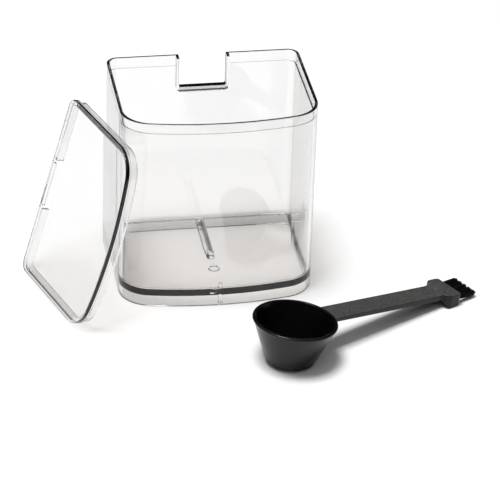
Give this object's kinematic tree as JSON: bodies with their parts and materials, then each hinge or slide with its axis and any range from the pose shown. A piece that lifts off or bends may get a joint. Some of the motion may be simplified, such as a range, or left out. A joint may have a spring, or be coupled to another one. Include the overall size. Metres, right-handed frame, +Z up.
{
  "type": "burr coffee grinder chamber set",
  "caption": "Clear lidded chamber that catches ground coffee under a burr grinder, notched at the back for the chute, with its lid leaning on it and a scoop whose handle ends in a brush.",
  "frame": {"origin": "centre of the chamber's base, on the table, midway between its sides and midway along its straight depth", "axes": "+Z up, +X to the chamber's right seen from the front, -Y towards the bowed front wall, +Y towards the notched back wall"},
  "size_m": [0.2566, 0.1702, 0.118],
  "materials": {
    "clear_chamber": "clear polished moulding, slightly grey in its thick edges",
    "clear_lid": "clear polished moulding, slightly grey in its thick edges",
    "black_moulding": "black moulding with a satin sheen",
    "bristle": "black nylon bristle",
    "anchor_wire": "flat drawn wire"
  },
  "bodies": {
    "chamber": {"grind_chamber": "clear_chamber"},
    "lid": {"chamber_lid": "clear_lid"},
    "scoop": {"scoop": "black_moulding", "tuft_1": "bristle", "tuft_2": "bristle", "tuft_3": "bristle", "tuft_4": "bristle", "tuft_5": "bristle", "tuft_anchors": "anchor_wire"}
  },
  "joints": [
    {"name": "lid_lift", "type": "slide", "parent": "chamber", "child": "lid", "axis": [0, 0, 1], "range_m": [0, 0.125]},
    {"name": "scoop_lift", "type": "slide", "parent": "chamber", "child": "scoop", "axis": [0, 0, 1], "range_m": [0, 0.125]}
  ]
}
